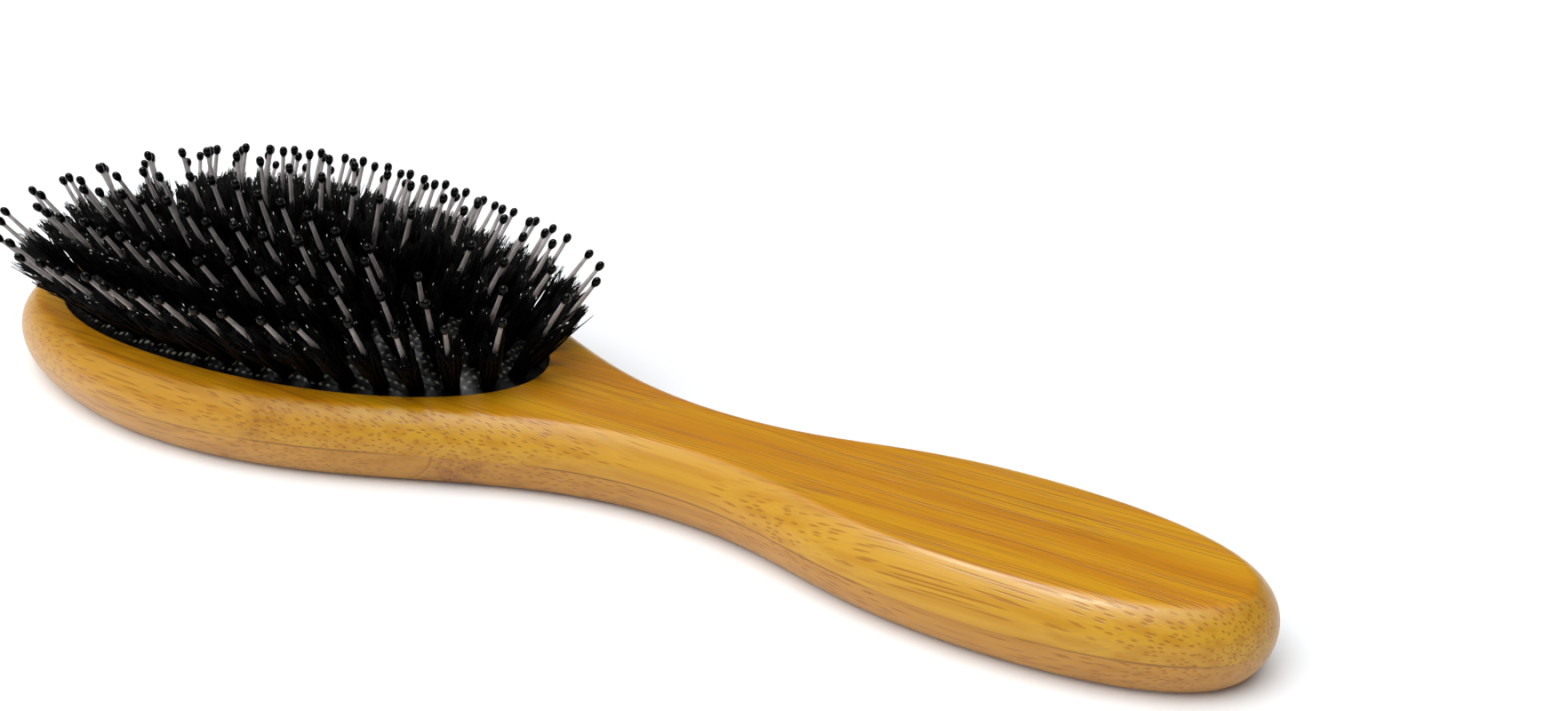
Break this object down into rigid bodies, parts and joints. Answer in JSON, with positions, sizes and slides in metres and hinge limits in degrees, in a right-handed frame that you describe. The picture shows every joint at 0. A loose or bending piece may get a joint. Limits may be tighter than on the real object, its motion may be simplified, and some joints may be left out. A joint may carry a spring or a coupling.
{
  "type": "beard brush",
  "caption": "Paddle-shaped bamboo beard brush with an oval rubber air cushion carrying boar bristle tufts and ball-tipped nylon pins.",
  "frame": {"origin": "on the flat back face, under the centre of the cushion", "axes": "+X down the handle, +Y across the brush, +Z the way the bristles point"},
  "size_m": [0.231, 0.0712, 0.04],
  "materials": {
    "bamboo_front": "caramelised bamboo, grain lengthwise, satin lacquer",
    "bamboo_back": "caramelised bamboo, grain lengthwise, satin lacquer, node marks",
    "cushion_rubber": "matte black rubber with a woven cloth print",
    "boar_bristle": "black boar bristle, faint sheen",
    "nylon_pin": "cloudy translucent nylon",
    "ball_tip": "gloss black dipped bead",
    "anchor_wire": "drawn wire"
  },
  "bodies": {
    "handle": {"back_strip_outer_left": "bamboo_back", "back_strip_inner_left": "bamboo_back", "back_strip_inner_right": "bamboo_back", "back_strip_outer_right": "bamboo_back", "front_ply": "bamboo_front", "rubber_cushion": "cushion_rubber"},
    "ring_1": {"boar_tufts_ring_1": "boar_bristle", "nylon_pins_ring_1": "nylon_pin", "ball_tips_ring_1": "ball_tip", "wire_anchors_ring_1": "anchor_wire"},
    "ring_2": {"boar_tufts_ring_2": "boar_bristle", "nylon_pins_ring_2": "nylon_pin", "ball_tips_ring_2": "ball_tip", "wire_anchors_ring_2": "anchor_wire"},
    "ring_3": {"boar_tufts_ring_3": "boar_bristle", "nylon_pins_ring_3": "nylon_pin", "ball_tips_ring_3": "ball_tip", "wire_anchors_ring_3": "anchor_wire"},
    "ring_4": {"boar_tufts_ring_4": "boar_bristle", "nylon_pins_ring_4": "nylon_pin", "ball_tips_ring_4": "ball_tip", "wire_anchors_ring_4": "anchor_wire"},
    "centre_row": {"boar_tufts_centre_row": "boar_bristle", "nylon_pins_centre_row": "nylon_pin", "ball_tips_centre_row": "ball_tip", "wire_anchors_centre_row": "anchor_wire"}
  },
  "joints": [
    {"name": "cushion_press", "type": "slide", "parent": "handle", "child": "centre_row", "axis": [0, 0, -1], "range_m": [0, 0.003], "stiffness_N_per_m": 1500, "deforming": ["rubber_cushion"]},
    {"name": "ring_1_press", "type": "slide", "parent": "handle", "child": "ring_1", "axis": [0, 0, -1], "range_m": [0, 0.000571], "stiffness_N_per_m": 300},
    {"name": "ring_2_press", "type": "slide", "parent": "handle", "child": "ring_2", "axis": [0, 0, -1], "range_m": [0, 0.00147], "stiffness_N_per_m": 300},
    {"name": "ring_3_press", "type": "slide", "parent": "handle", "child": "ring_3", "axis": [0, 0, -1], "range_m": [0, 0.00219], "stiffness_N_per_m": 300},
    {"name": "ring_4_press", "type": "slide", "parent": "handle", "child": "ring_4", "axis": [0, 0, -1], "range_m": [0, 0.0027], "stiffness_N_per_m": 300}
  ],
  "couplings": [
    {"joint": "ring_1_press", "follows": "cushion_press", "ratio": 0.19},
    {"joint": "ring_2_press", "follows": "cushion_press", "ratio": 0.49},
    {"joint": "ring_3_press", "follows": "cushion_press", "ratio": 0.73},
    {"joint": "ring_4_press", "follows": "cushion_press", "ratio": 0.9}
  ]
}
